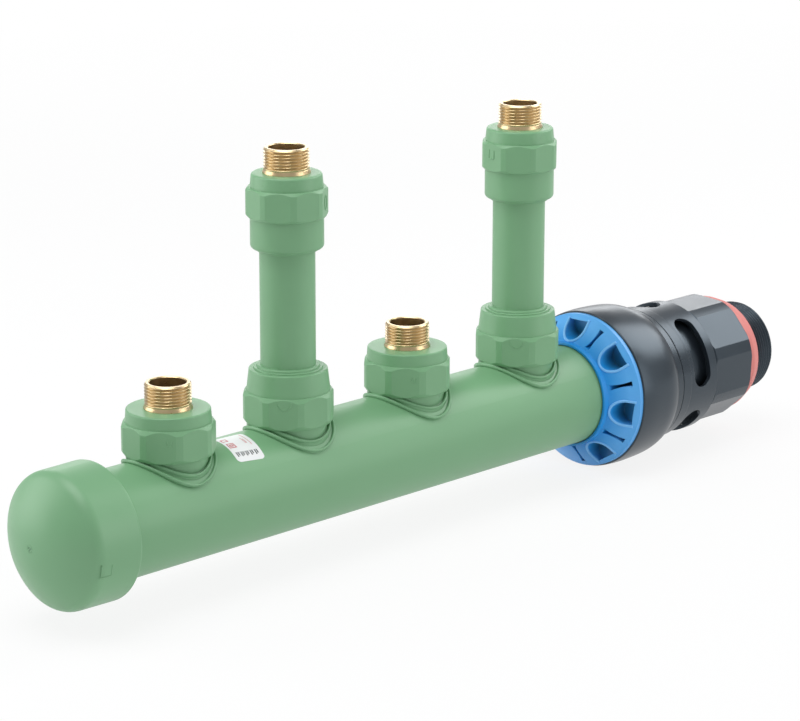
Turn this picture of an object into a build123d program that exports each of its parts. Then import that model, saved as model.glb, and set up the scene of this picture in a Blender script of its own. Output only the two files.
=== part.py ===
from build123d import *
from math import degrees
import os

os.makedirs("parts", exist_ok=True)

# A welded plastic distribution manifold: a header pipe closed by an end cap, four saddle outlets
# with brass male threads, two of them on risers, and a push-fit coupling with a male thread.
# Millimetres. X runs along the header towards the inlet, Z runs up the outlets.
# The origin is on the header's axis, where the mating fitting stops against the inlet's seal.

# Header pipe
header_radius = 31.5
header_wall = 8.6
first_spacing = 91.0
riser_spacing = 97.0
last_outlet_to_coupling = 61.0
cap_to_first_outlet = 53.5
branch_hole_radius = 16.0

# Weld beads where a saddle is fused to the header
inner_roll_width = 1.6
outer_roll_width = 1.6
inner_roll_height = 2.5
outer_roll_height = 1.3

# End cap
cap_socket_depth = 29.0
cap_wall = 8.4
cap_draft = 0.4
cap_rim_round = 1.8
cap_dome_radius = 56.0
cap_edge_round = 9.5
cap_length = 46.0
cap_end_wall = 12.0

# Saddle, as welded into the header
collar_lift = 0.4
collar_half_width = 25.3
collar_corner_radius = 26.6
collar_height = 18.6
collar_chamfer_drop = 2.4
collar_chamfer_inset = 0.3
neck_step = 3.1
taper_step = 1.0
edge_break = 0.6
transition_taper_height = 7.2
transition_taper_draft = 0.6
transition_top_round = 0.9
socket_taper_height = 12.9
saddle_twist = (-5.5, -5.0, -2.5, -4.7)

# Riser pipe and its sockets
riser_radius = 16.0
riser_wall = 4.4
socket_depth = 18.0
socket_wall = 6.7
riser_free_length = 70.3
riser_roll_width = 2.2
riser_roll_height = 2.2
socket_roll_width = 1.9
socket_roll_height = 0.9
bead_round = 0.6

# Adaptor on top of a riser
adaptor_wall = 5.1
adaptor_barrel_length = 18.3
adaptor_bottom_round = 2.4
adaptor_collar_step = 1.3
adaptor_collar_corner_step = 2.5
adaptor_collar_height = 17.3
adaptor_chamfer_drop = 1.7
adaptor_draft = 0.9
adaptor_top_height = 7.9
adaptor_top_round = 1.5
adaptor_twist = (-11.0, -4.4)

# Brass thread, three-quarter inch pipe size
thread_radius = 13.2
thread_length = 14.8
thread_wall = 2.8
thread_mouth_break = 0.9
base_ring_step = 0.6
base_ring_height = 1.2
anchor_step = 3.8
anchor_depth = 3.6
anchor_length = 11.0
anchor_groove_depth = 1.2
anchor_groove_width = 2.6
insert_tail_length = 4.5

# Guide ring at the coupling's mouth
pipe_clearance = 0.5
ring_rim_lip = 0.4
ring_rim_thickness = 3.0
ring_nose_length = 16.0
ring_neck_length = 4.0
ring_neck_wall = 1.5
ring_spigot_length = 9.0
ring_spigot_wall = 1.4
pocket_count = 6
pocket_pitch = 50.0
pocket_first_angle = -58.5
pocket_half_width = 7.3
pocket_rim_wall = 3.4
pocket_bore_wall = 2.9
pocket_floor_depth = 2.0
slot_rim_wall = 3.2
slot_bore_wall = 2.6
slot_waist_half_width = 0.9
slot_end_half_width = 1.7
split_width = 24.0

# Coupling sleeve
sleeve_length = 82.5
sleeve_belly_step = 4.9
sleeve_mouth_draw = 1.1
sleeve_belly_length = 20.0
sleeve_shoulder_station = 39.0
shoulder_step = 1.4
first_band_step = 0.9
second_band_step = 0.9
band_groove_depth = 0.9
band_groove_width = 1.0
first_band_length = 7.0
second_band_length = 8.0
collar_sleeve_wall = 2.5
sleeve_end_break = 1.2
window_width = 16.0
window_arc = 66.0
window_count = 4
window_middle_angle = 28.6
window_to_end = 8.0
fit_gap = 0.3

# Grip, thrust ring and seal inside the coupling
grip_length = 15.5
grip_wall = 7.2
grip_taper = 3.5
grip_split = 6.0
grip_tooth_depth = 1.0
tooth_count = 4
thrust_ring_length = 3.2
thrust_ring_width = 6.2
seal_length = 9.4
seal_width = 5.7
seal_lip_depth = 2.0

# Coupling body
seal_seat_wall = 2.8
waist_wall = 4.8
body_front_land = 18.0
body_rear_land = 5.0
joint_groove = 2.0
joint_groove_depth = 1.0
wrench_length = 37.0
wrench_half_width = 38.8
wrench_corner_radius = 40.6
wrench_chamfer_drop = 1.0
wrench_twist = 3.0
stop_wall_gap = 0.4
inlet_thread_radius = 29.8
inlet_thread_length = 22.5
inlet_thread_break = 1.5
inlet_wall = 6.9

# Gasket at the foot of the inlet's thread
gasket_length = 12.0
gasket_bore_step = 0.6
gasket_wall = 8.0
gasket_taper = 3.0
gasket_flat_length = 4.0
gasket_round = 1.5

# Stations along the header, worked out from the inlet end
wrench_end_x = -gasket_length
wrench_start_x = wrench_end_x - wrench_length
sleeve_end_x = wrench_start_x - joint_groove
sleeve_mouth_x = sleeve_end_x - sleeve_length
ring_face_x = sleeve_mouth_x - ring_rim_thickness
outlet_4_x = ring_face_x - last_outlet_to_coupling
outlet_3_x = outlet_4_x - riser_spacing
outlet_2_x = outlet_3_x - riser_spacing
outlet_1_x = outlet_2_x - first_spacing
outlet_x = (outlet_1_x, outlet_2_x, outlet_3_x, outlet_4_x)
cap_rim_x = outlet_1_x - cap_to_first_outlet
header_start_x = cap_rim_x - cap_socket_depth
pipe_stop_x = sleeve_end_x - stop_wall_gap
header_end_x = pipe_stop_x - stop_wall_gap

# Heights on an outlet's axis
collar_bottom = header_radius + outer_roll_height + collar_lift
collar_top = collar_bottom + collar_height
transition_top = collar_top + transition_taper_height
socket_top = collar_top + socket_taper_height
socket_floor = socket_top - socket_depth
adaptor_bottom = socket_top + riser_free_length
adaptor_socket_top = adaptor_bottom + socket_depth
adaptor_collar_bottom = adaptor_bottom + adaptor_barrel_length
adaptor_collar_top = adaptor_collar_bottom + adaptor_collar_height
adaptor_top = adaptor_collar_top + adaptor_top_height

# Radii of the header, the outlets and their threads
header_bore_radius = header_radius - header_wall
neck_radius = collar_half_width - neck_step
inner_roll_radius = neck_radius + inner_roll_width
outer_roll_radius = inner_roll_radius + outer_roll_width
taper_base_radius = collar_half_width - taper_step
transition_top_radius = taper_base_radius - transition_taper_draft
riser_bore_radius = riser_radius - riser_wall
socket_top_radius = riser_radius + socket_wall
adaptor_barrel_radius = riser_radius + adaptor_wall
adaptor_collar_half_width = adaptor_barrel_radius + adaptor_collar_step
adaptor_collar_corner_radius = adaptor_barrel_radius + adaptor_collar_corner_step
adaptor_top_radius = adaptor_barrel_radius - adaptor_draft
thread_bore_radius = thread_radius - thread_wall
base_ring_radius = thread_radius + base_ring_step
anchor_radius = thread_radius + anchor_step
cap_rim_radius = header_radius + cap_wall
cap_end_radius = cap_rim_radius - cap_draft

# Radii inside the coupling, built up from the pipe outwards
pipe_bore_radius = header_radius + pipe_clearance
seal_radius = header_radius + seal_width
thrust_ring_radius = pipe_bore_radius + thrust_ring_width
grip_narrow_radius = header_radius + grip_wall
grip_wide_radius = grip_narrow_radius + grip_taper
ring_spigot_radius = grip_wide_radius + ring_spigot_wall
body_tube_radius = seal_radius + seal_seat_wall
body_waist_radius = pipe_bore_radius + waist_wall
joint_groove_radius = body_tube_radius - joint_groove_depth
sleeve_bore_radius = body_tube_radius + fit_gap
collar_sleeve_radius = sleeve_bore_radius + collar_sleeve_wall
second_band_radius = collar_sleeve_radius + second_band_step
first_band_radius = second_band_radius + first_band_step
sleeve_shoulder_radius = first_band_radius + shoulder_step
sleeve_belly_radius = sleeve_shoulder_radius + sleeve_belly_step
sleeve_mouth_radius = sleeve_belly_radius - sleeve_mouth_draw
ring_rim_radius = sleeve_mouth_radius - ring_rim_lip
inlet_bore_radius = inlet_thread_radius - inlet_wall
gasket_bore_radius = inlet_thread_radius + gasket_bore_step
gasket_wide_radius = gasket_bore_radius + gasket_wall
gasket_narrow_radius = gasket_wide_radius - gasket_taper


def section_plane(x):
    """The upright plane through an outlet's axis."""
    return Plane(origin=(x, 0, 0), x_dir=(1, 0, 0), z_dir=(0, -1, 0))


def level_plane(x, height):
    """The level plane at a height on an outlet's axis."""
    return Plane(origin=(x, 0, height), z_dir=(0, 0, 1))


def mouth_plane(x):
    """The upright plane across the header, seen from the coupling's mouth; angles start at the front."""
    return Plane(origin=(x, 0, 0), x_dir=(0, -1, 0), z_dir=(-1, 0, 0))


def outlet_axis(x):
    return Axis((x, 0, 0), (0, 0, 1))


def finish(builder, name):
    """Labels a piece and writes it."""
    builder.part.label = name
    export_step(builder.part, "parts/" + name + ".step")


def weld_roll(x, inner, outer, height):
    """One rounded roll of melted plastic that follows the header's curve round an outlet."""
    with BuildPart() as roll:
        with BuildSketch(level_plane(x, header_radius / 2)):
            Circle(outer)
            Circle(inner, mode=Mode.SUBTRACT)
        extrude(amount=header_radius)
        with BuildSketch(Plane.YZ.offset(x - 2 * outer)):
            Circle(header_radius + height)
        extrude(amount=4 * outer, mode=Mode.INTERSECT)
    return roll.part


def wrench_collar(x, bottom, height, half_width, corner_radius, drop, twist):
    """An eight-sided collar with its corners turned off and its edges bevelled."""
    inset = corner_radius - half_width + collar_chamfer_inset
    with BuildPart() as collar:
        with BuildSketch(section_plane(x)):
            with BuildLine():
                Polyline(
                    (0, bottom),
                    (corner_radius - inset, bottom),
                    (corner_radius, bottom + drop),
                    (corner_radius, bottom + height - drop),
                    (corner_radius - inset, bottom + height),
                    (0, bottom + height),
                    close=True,
                )
            make_face()
        revolve(axis=outlet_axis(x))
        with BuildSketch(level_plane(x, bottom)):
            RegularPolygon(half_width, 8, major_radius=False, rotation=22.5 + twist)
        extrude(amount=height, mode=Mode.INTERSECT)
    return collar.part


def insert_outline(base):
    """Half outline of a brass insert, from its tail to where the thread starts."""
    anchor_top = base - anchor_depth
    anchor_bottom = anchor_top - anchor_length
    groove_top = (anchor_top + anchor_bottom + anchor_groove_width) / 2
    groove_bottom = groove_top - anchor_groove_width
    tail_radius = (thread_radius + thread_bore_radius) / 2
    return [
        (thread_bore_radius, anchor_bottom - insert_tail_length),
        (tail_radius, anchor_bottom - insert_tail_length),
        (tail_radius, anchor_bottom),
        (anchor_radius, anchor_bottom),
        (anchor_radius, groove_bottom),
        (anchor_radius - anchor_groove_depth, groove_bottom),
        (anchor_radius - anchor_groove_depth, groove_top),
        (anchor_radius, groove_top),
        (anchor_radius, anchor_top),
        (thread_radius, anchor_top),
        (thread_radius, base),
    ]


def insert_cavity(x, base):
    """The space that the plastic leaves round the brass insert moulded into it."""
    with BuildPart() as cavity:
        with BuildSketch(section_plane(x)):
            with BuildLine():
                Polyline((0, insert_outline(base)[0][1]), *insert_outline(base)[1:], (0, base), close=True)
            make_face()
        revolve(axis=outlet_axis(x))
    return cavity.part


# Header pipe: extruded tube with four branch holes, and the outer roll of each saddle's weld
outer_rolls = [weld_roll(x, inner_roll_radius, outer_roll_radius, outer_roll_height) for x in outlet_x]
with BuildPart() as header_pipe:
    with BuildSketch(Plane.YZ.offset(header_start_x)):
        Circle(header_radius)
    extrude(amount=header_end_x - header_start_x)
    add(outer_rolls)
    with BuildSketch(Plane.YZ.offset(header_start_x)):
        Circle(header_bore_radius)
    extrude(amount=header_end_x - header_start_x, mode=Mode.SUBTRACT)
    with BuildSketch(Plane.XY):
        with Locations(*[(x, 0) for x in outlet_x]):
            Circle(branch_hole_radius)
    extrude(amount=2 * header_radius, mode=Mode.SUBTRACT)
finish(header_pipe, "header_pipe")

# End cap: moulded cup with a domed end and a soft rim, fused over the header's end
cap_crown_x = cap_rim_x - cap_length
cap_dome_rise = cap_dome_radius - (cap_dome_radius**2 - cap_end_radius**2) ** 0.5
cap_corner_x = cap_crown_x + cap_dome_rise
cap_cavity_x = cap_crown_x + cap_end_wall
cap_middle_angle_rise = cap_dome_radius - (cap_dome_radius**2 - (cap_end_radius / 2) ** 2) ** 0.5
with BuildPart() as end_cap:
    with BuildSketch(Plane.XZ) as cap_profile:
        with BuildLine():
            Line((cap_crown_x, 0), (cap_rim_x, 0))
            Line((cap_rim_x, 0), (cap_rim_x, cap_rim_radius))
            Line((cap_rim_x, cap_rim_radius), (cap_corner_x, cap_end_radius))
            ThreePointArc(
                (cap_corner_x, cap_end_radius),
                (cap_crown_x + cap_middle_angle_rise, cap_end_radius / 2),
                (cap_crown_x, 0),
            )
        make_face()
        fillet(cap_profile.vertices().sort_by(Axis.Y)[-2], cap_edge_round)
        fillet(cap_profile.vertices().sort_by(Axis.Y)[-1], cap_rim_round)
    revolve(axis=Axis.X)
    with BuildSketch(Plane.YZ.offset(header_start_x)):
        Circle(header_radius)
    extrude(amount=cap_socket_depth, mode=Mode.SUBTRACT)
    with BuildSketch(Plane.YZ.offset(cap_cavity_x)):
        Circle(header_bore_radius)
    extrude(amount=header_start_x - cap_cavity_x, mode=Mode.SUBTRACT)
finish(end_cap, "end_cap")


def make_saddle(number, x, twist, top, top_radius):
    """A welded saddle: foot cut to the header, neck, eight-sided collar and tapered top."""
    collar = wrench_collar(
        x, collar_bottom, collar_height, collar_half_width, collar_corner_radius, collar_chamfer_drop, twist
    )
    roll = weld_roll(x, neck_radius - inner_roll_width, inner_roll_radius, inner_roll_height)
    with BuildPart() as saddle:
        add(collar)
        with BuildSketch(level_plane(x, collar_bottom)):
            Circle(neck_radius)
        extrude(amount=-collar_bottom)
        add(roll)
        with BuildSketch(Plane.YZ.offset(x - 2 * collar_corner_radius)):
            Circle(header_radius)
        extrude(amount=4 * collar_corner_radius, mode=Mode.SUBTRACT)
        with BuildSketch(level_plane(x, 0)):
            Circle(branch_hole_radius)
        extrude(amount=collar_bottom)
        with BuildSketch(Plane.YZ.offset(x - 2 * collar_corner_radius)):
            Circle(header_bore_radius)
        extrude(amount=4 * collar_corner_radius, mode=Mode.SUBTRACT)
        with BuildSketch(section_plane(x)) as top_profile:
            with BuildLine():
                Polyline(
                    (0, collar_top - edge_break),
                    (taper_base_radius, collar_top - edge_break),
                    (top_radius, top),
                    (0, top),
                    close=True,
                )
            make_face()
            fillet(top_profile.vertices().group_by(Axis.Y)[-1].sort_by(Axis.X)[-1], transition_top_round)
        revolve(axis=outlet_axis(x))
        if number in (1, 3):
            add(insert_cavity(x, top), mode=Mode.SUBTRACT)
            with BuildSketch(level_plane(x, 0)):
                Circle(thread_bore_radius)
            extrude(amount=top, mode=Mode.SUBTRACT)
        else:
            roll_inner = riser_radius + riser_roll_width
            with BuildSketch(level_plane(x, top - socket_roll_height)):
                Circle(roll_inner + socket_roll_width)
            extrude(amount=2 * socket_roll_height)
            fillet(saddle.edges().filter_by(GeomType.CIRCLE).sort_by(Axis.Z)[-1], bead_round)
            with BuildSketch(level_plane(x, top)):
                Circle(roll_inner)
            extrude(amount=2 * socket_roll_height, mode=Mode.SUBTRACT)
            with BuildSketch(level_plane(x, socket_floor)):
                Circle(riser_radius)
            extrude(amount=2 * socket_depth, mode=Mode.SUBTRACT)
            with BuildSketch(level_plane(x, 0)):
                Circle(riser_bore_radius)
            extrude(amount=top, mode=Mode.SUBTRACT)
    return saddle


# Saddles: outlets 1 and 3 carry a brass thread, outlets 2 and 4 a socket for a riser
for index, x in enumerate(outlet_x):
    number = index + 1
    if number in (1, 3):
        saddle = make_saddle(number, x, saddle_twist[index], transition_top, transition_top_radius)
        finish(saddle, "transition_saddle_" + str(number))
    else:
        saddle = make_saddle(number, x, saddle_twist[index], socket_top, socket_top_radius)
        finish(saddle, "socket_saddle_" + str(number))

# Riser pipes: plain pipe between two sockets, with the roll of melted plastic at the lower one
for number in (2, 4):
    x = outlet_x[number - 1]
    with BuildPart() as riser_pipe:
        with BuildSketch(level_plane(x, socket_floor)):
            Circle(riser_radius)
        extrude(amount=adaptor_socket_top - socket_floor)
        with BuildSketch(level_plane(x, socket_top)):
            Circle(riser_radius + riser_roll_width)
        extrude(amount=riser_roll_height)
        roll_edge = riser_pipe.edges().filter_by(GeomType.CIRCLE).filter_by(
            lambda edge: edge.radius > riser_radius + riser_roll_width / 2
        )
        fillet(roll_edge.sort_by(Axis.Z)[-1], min(riser_roll_width, riser_roll_height) * 0.6)
        with BuildSketch(level_plane(x, socket_floor)):
            Circle(riser_bore_radius)
        extrude(amount=adaptor_socket_top - socket_floor, mode=Mode.SUBTRACT)
    finish(riser_pipe, "riser_pipe_" + str(number))

# Riser adaptors: barrel with the pipe socket below, eight-sided collar, tapered top with the thread
for index, number in enumerate((2, 4)):
    x = outlet_x[number - 1]
    collar = wrench_collar(
        x,
        adaptor_collar_bottom,
        adaptor_collar_height,
        adaptor_collar_half_width,
        adaptor_collar_corner_radius,
        adaptor_chamfer_drop,
        adaptor_twist[index],
    )
    with BuildPart() as adaptor:
        with BuildSketch(level_plane(x, adaptor_bottom)):
            Circle(adaptor_barrel_radius)
        extrude(amount=adaptor_barrel_length + edge_break)
        fillet(adaptor.edges().filter_by(GeomType.CIRCLE).sort_by(Axis.Z)[0], adaptor_bottom_round)
        add(collar)
        with BuildSketch(section_plane(x)) as top_profile:
            with BuildLine():
                Polyline(
                    (0, adaptor_collar_top - edge_break),
                    (adaptor_barrel_radius, adaptor_collar_top - edge_break),
                    (adaptor_top_radius, adaptor_top),
                    (0, adaptor_top),
                    close=True,
                )
            make_face()
            fillet(top_profile.vertices().group_by(Axis.Y)[-1].sort_by(Axis.X)[-1], adaptor_top_round)
        revolve(axis=outlet_axis(x))
        with BuildSketch(level_plane(x, adaptor_bottom)):
            Circle(riser_radius)
        extrude(amount=socket_depth, mode=Mode.SUBTRACT)
        add(insert_cavity(x, adaptor_top), mode=Mode.SUBTRACT)
        with BuildSketch(level_plane(x, adaptor_bottom)):
            Circle(thread_bore_radius)
        extrude(amount=adaptor_top - adaptor_bottom, mode=Mode.SUBTRACT)
    finish(adaptor, "riser_adaptor_" + str(number))

# Brass inserts: turned, anchored in the plastic by a grooved flange, with a male pipe thread
for index, x in enumerate(outlet_x):
    number = index + 1
    base = transition_top if number in (1, 3) else adaptor_top
    mouth = base + thread_length
    with BuildPart() as brass_thread:
        with BuildSketch(section_plane(x)):
            with BuildLine():
                Polyline(
                    *insert_outline(base),
                    (base_ring_radius, base),
                    (base_ring_radius, base + base_ring_height),
                    (thread_radius, base + 2 * base_ring_height),
                    (thread_radius, mouth - thread_mouth_break),
                    (thread_radius - thread_mouth_break, mouth),
                    (thread_bore_radius + thread_mouth_break / 2, mouth),
                    (thread_bore_radius, mouth - thread_mouth_break / 2),
                    close=True,
                )
            make_face()
        revolve(axis=outlet_axis(x))
    finish(brass_thread, "brass_thread_" + str(number))

# Guide ring of the coupling: blue, with a conical face, moulded pockets and radial slots
ring_neck_radius = pipe_bore_radius + ring_neck_wall
ring_tip_x = ring_face_x - ring_nose_length
ring_cone_x = ring_tip_x + ring_neck_length
ring_back_x = sleeve_mouth_x + ring_spigot_length
pocket_inner_radius = pipe_bore_radius + pocket_bore_wall
pocket_outer_radius = ring_rim_radius - pocket_rim_wall
pocket_arc_radius = pocket_inner_radius + pocket_half_width
slot_inner_radius = pipe_bore_radius + slot_bore_wall
slot_outer_radius = ring_rim_radius - slot_rim_wall
slot_middle = (slot_inner_radius + slot_outer_radius) / 2
pocket_floor_x = ring_face_x + pocket_floor_depth
half_pitch = pocket_pitch / 2
split_angle = pocket_first_angle - half_pitch - (360 - pocket_count * pocket_pitch) / 2
with BuildSketch() as pocket_outline:
    with BuildLine():
        Polyline(
            (pocket_arc_radius, -pocket_half_width),
            (pocket_outer_radius, -pocket_half_width),
            (pocket_outer_radius, pocket_half_width),
            (pocket_arc_radius, pocket_half_width),
        )
        ThreePointArc(
            (pocket_arc_radius, pocket_half_width),
            (pocket_inner_radius, 0),
            (pocket_arc_radius, -pocket_half_width),
        )
    make_face()
with BuildSketch() as slot_outline:
    with BuildLine():
        ThreePointArc(
            (slot_inner_radius, -slot_end_half_width),
            (slot_middle, -slot_waist_half_width),
            (slot_outer_radius, -slot_end_half_width),
        )
        Line((slot_outer_radius, -slot_end_half_width), (slot_outer_radius, slot_end_half_width))
        ThreePointArc(
            (slot_outer_radius, slot_end_half_width),
            (slot_middle, slot_waist_half_width),
            (slot_inner_radius, slot_end_half_width),
        )
        Line((slot_inner_radius, slot_end_half_width), (slot_inner_radius, -slot_end_half_width))
    make_face()
with BuildPart() as guide_ring:
    with BuildSketch(Plane.XZ):
        with BuildLine():
            Polyline(
                (ring_tip_x, pipe_bore_radius),
                (ring_tip_x, ring_neck_radius),
                (ring_cone_x, ring_neck_radius),
                (ring_face_x, ring_rim_radius),
                (sleeve_mouth_x, ring_rim_radius),
                (sleeve_mouth_x, ring_spigot_radius),
                (ring_back_x, ring_spigot_radius),
                (ring_back_x, pipe_bore_radius),
                close=True,
            )
        make_face()
    revolve(axis=Axis.X)
    with BuildSketch(mouth_plane(pocket_floor_x)):
        with PolarLocations(0, pocket_count, pocket_first_angle, pocket_pitch * pocket_count):
            add(pocket_outline.sketch)
    extrude(amount=pocket_floor_x - ring_tip_x, mode=Mode.SUBTRACT)
    with BuildSketch(mouth_plane(ring_back_x)):
        with PolarLocations(0, pocket_count + 1, pocket_first_angle - half_pitch, pocket_pitch * (pocket_count + 1)):
            add(slot_outline.sketch)
    extrude(amount=ring_back_x - ring_tip_x, mode=Mode.SUBTRACT)
    with BuildSketch(mouth_plane(ring_back_x).rotated((0, 0, split_angle))):
        with Locations((ring_rim_radius, 0)):
            Rectangle(2 * ring_rim_radius, split_width)
    extrude(amount=ring_back_x - ring_tip_x, mode=Mode.SUBTRACT)
finish(guide_ring, "guide_ring")

# Coupling sleeve: black moulded bell that holds the grip, with inspection windows in its collar
shoulder_x = sleeve_mouth_x + sleeve_shoulder_station
first_band_end_x = shoulder_x + first_band_length
groove_end_x = first_band_end_x + band_groove_width
second_band_end_x = groove_end_x + second_band_length
spigot_bore_radius = ring_spigot_radius + fit_gap
spigot_bore_end_x = ring_back_x + fit_gap
grip_start_x = spigot_bore_end_x + fit_gap
grip_end_x = grip_start_x + grip_length
thrust_end_x = grip_end_x + fit_gap + thrust_ring_length
body_front_x = thrust_end_x + fit_gap
with BuildPart() as coupling_sleeve:
    with BuildSketch(Plane.XZ):
        with BuildLine():
            Polyline(
                (sleeve_mouth_x, spigot_bore_radius),
                (sleeve_mouth_x, sleeve_mouth_radius),
                (sleeve_mouth_x + edge_break, sleeve_mouth_radius + edge_break),
            )
            Spline(
                (sleeve_mouth_x + edge_break, sleeve_mouth_radius + edge_break),
                (sleeve_mouth_x + sleeve_belly_length / 2, sleeve_belly_radius),
                (sleeve_mouth_x + sleeve_belly_length, sleeve_belly_radius - edge_break / 2),
                (shoulder_x, sleeve_shoulder_radius),
                tangents=[(1, 0.12), (1, -0.9)],
            )
            Polyline(
                (shoulder_x, sleeve_shoulder_radius),
                (shoulder_x, first_band_radius),
                (first_band_end_x, first_band_radius - edge_break),
                (first_band_end_x, first_band_radius - edge_break - band_groove_depth),
                (groove_end_x, first_band_radius - edge_break - band_groove_depth),
                (groove_end_x, second_band_radius),
                (second_band_end_x, second_band_radius - edge_break / 2),
                (second_band_end_x, collar_sleeve_radius),
                (sleeve_end_x - sleeve_end_break, collar_sleeve_radius),
                (sleeve_end_x, collar_sleeve_radius - sleeve_end_break),
                (sleeve_end_x, sleeve_bore_radius),
                (body_front_x - fit_gap, sleeve_bore_radius),
                (body_front_x - fit_gap, thrust_ring_radius + fit_gap),
                (grip_end_x, thrust_ring_radius + fit_gap),
                (grip_end_x, grip_narrow_radius + fit_gap),
                (grip_start_x, grip_wide_radius + fit_gap),
                (spigot_bore_end_x, grip_wide_radius + fit_gap),
                (spigot_bore_end_x, spigot_bore_radius),
                (sleeve_mouth_x, spigot_bore_radius),
            )
        make_face()
    revolve(axis=Axis.X)
    window_middle_x = sleeve_end_x - window_to_end - window_width / 2
    window_end_turn = window_arc / 2 - degrees(window_width / 2 / collar_sleeve_radius)
    for turn in range(window_count):
        angle = window_middle_angle + 360 / window_count * turn
        for end_angle in (angle - window_end_turn, angle + window_end_turn):
            outward = Vector(0, -1, 0).rotate(Axis.X, -end_angle)
            with BuildSketch(Plane(origin=(window_middle_x, 0, 0), x_dir=(1, 0, 0), z_dir=outward)):
                Circle(window_width / 2)
            extrude(amount=2 * collar_sleeve_radius, mode=Mode.SUBTRACT)
        with BuildSketch(Plane.XZ.rotated((90 - angle - window_end_turn, 0, 0))):
            with Locations((window_middle_x, 1.5 * sleeve_bore_radius)):
                Rectangle(window_width, sleeve_bore_radius * 1.2)
        revolve(axis=Axis.X, revolution_arc=2 * window_end_turn, mode=Mode.SUBTRACT)
finish(coupling_sleeve, "coupling_sleeve")

# Grip ring: split taper ring with teeth that bite the pipe
with BuildPart() as grip_ring:
    grip_bore = header_radius + fit_gap
    tooth_pitch = grip_length / tooth_count
    teeth = []
    for tooth in range(tooth_count):
        teeth.append((grip_end_x - tooth * tooth_pitch, grip_bore))
        teeth.append((grip_end_x - (tooth + 1) * tooth_pitch, grip_bore + grip_tooth_depth))
    with BuildSketch(Plane.XZ):
        with BuildLine():
            Polyline((grip_start_x, grip_wide_radius), (grip_end_x, grip_narrow_radius), *teeth, close=True)
        make_face()
    revolve(axis=Axis.X)
    with BuildSketch(Plane.YZ.offset(grip_start_x)):
        with Locations((0, -grip_wide_radius)):
            Rectangle(grip_split, 2 * (grip_wide_radius - header_radius / 2))
    extrude(amount=grip_length, mode=Mode.SUBTRACT)
finish(grip_ring, "grip_ring")

# Thrust ring: plain washer between the grip and the seal
with BuildPart() as thrust_ring:
    with BuildSketch(Plane.YZ.offset(grip_end_x + fit_gap)):
        Circle(thrust_ring_radius)
        Circle(pipe_bore_radius, mode=Mode.SUBTRACT)
    extrude(amount=thrust_ring_length)
finish(thrust_ring, "thrust_ring")

# Coupling body: black moulding with the pipe socket, wrench flats and the inlet's male thread
seal_seat_end_x = body_front_x + seal_length + fit_gap
body_waist_start_x = body_front_x + body_front_land
body_waist_end_x = sleeve_end_x - body_rear_land
with BuildPart() as coupling_body:
    with BuildSketch(Plane.XZ):
        with BuildLine():
            Polyline(
                (wrench_start_x, 0),
                (wrench_start_x, wrench_corner_radius - wrench_chamfer_drop),
                (wrench_start_x + wrench_chamfer_drop, wrench_corner_radius),
                (wrench_end_x - wrench_chamfer_drop, wrench_corner_radius),
                (wrench_end_x, wrench_corner_radius - wrench_chamfer_drop),
                (wrench_end_x, 0),
                close=True,
            )
        make_face()
    revolve(axis=Axis.X)
    with BuildSketch(Plane.YZ.offset(wrench_start_x)):
        RegularPolygon(wrench_half_width, 8, major_radius=False, rotation=22.5 + wrench_twist)
    extrude(amount=wrench_length, mode=Mode.INTERSECT)
    with BuildSketch(Plane.XZ):
        with BuildLine():
            Polyline(
                (body_front_x, 0),
                (body_front_x, body_tube_radius - edge_break),
                (body_front_x + edge_break, body_tube_radius),
                (body_waist_start_x, body_tube_radius),
                (body_waist_start_x, body_waist_radius),
                (body_waist_end_x, body_waist_radius),
                (body_waist_end_x, body_tube_radius),
                (sleeve_end_x, body_tube_radius),
                (sleeve_end_x, joint_groove_radius),
                (wrench_start_x, joint_groove_radius),
                (wrench_start_x, gasket_bore_radius),
                (0, gasket_bore_radius),
                (0, inlet_thread_radius),
                (inlet_thread_length - inlet_thread_break, inlet_thread_radius),
                (inlet_thread_length, inlet_thread_radius - inlet_thread_break),
                (inlet_thread_length, 0),
                close=True,
            )
        make_face()
    revolve(axis=Axis.X)
    with BuildSketch(Plane.YZ.offset(body_front_x)):
        Circle(seal_radius)
    extrude(amount=seal_seat_end_x - body_front_x, mode=Mode.SUBTRACT)
    with BuildSketch(Plane.YZ.offset(body_front_x)):
        Circle(pipe_bore_radius)
    extrude(amount=pipe_stop_x - body_front_x, mode=Mode.SUBTRACT)
    with BuildSketch(Plane.YZ.offset(body_front_x)):
        Circle(inlet_bore_radius)
    extrude(amount=inlet_thread_length - body_front_x, mode=Mode.SUBTRACT)
finish(coupling_body, "coupling_body")

# Seal: moulded rubber ring with a lip groove, squeezed between the pipe and the body
with BuildPart() as pipe_seal:
    lip_middle = (header_radius + seal_radius) / 2
    lip_half_width = (seal_radius - header_radius) / 6
    with BuildSketch(Plane.XZ):
        with BuildLine():
            Polyline(
                (body_front_x, header_radius),
                (body_front_x, lip_middle - lip_half_width),
                (body_front_x + seal_lip_depth, lip_middle),
                (body_front_x, lip_middle + lip_half_width),
                (body_front_x, seal_radius),
                (body_front_x + seal_length, seal_radius),
                (body_front_x + seal_length, header_radius),
                close=True,
            )
        make_face()
    revolve(axis=Axis.X)
finish(pipe_seal, "pipe_seal")

# Thread gasket: coral rubber ring on the inlet's neck, against the wrench flats
with BuildPart() as thread_gasket:
    with BuildSketch(Plane.XZ):
        with BuildLine():
            Polyline(
                (wrench_end_x, gasket_bore_radius),
                (wrench_end_x, gasket_wide_radius),
                (wrench_end_x + gasket_flat_length, gasket_wide_radius),
                (0, gasket_narrow_radius),
                (0, gasket_bore_radius),
                close=True,
            )
        make_face()
    revolve(axis=Axis.X)
    gasket_edges = thread_gasket.edges().filter_by(GeomType.CIRCLE)
    outer_edges = gasket_edges.filter_by(lambda edge: edge.radius > gasket_bore_radius + gasket_round)
    fillet(outer_edges.sort_by(Axis.X)[-1], gasket_round)
finish(thread_gasket, "thread_gasket")
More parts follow.
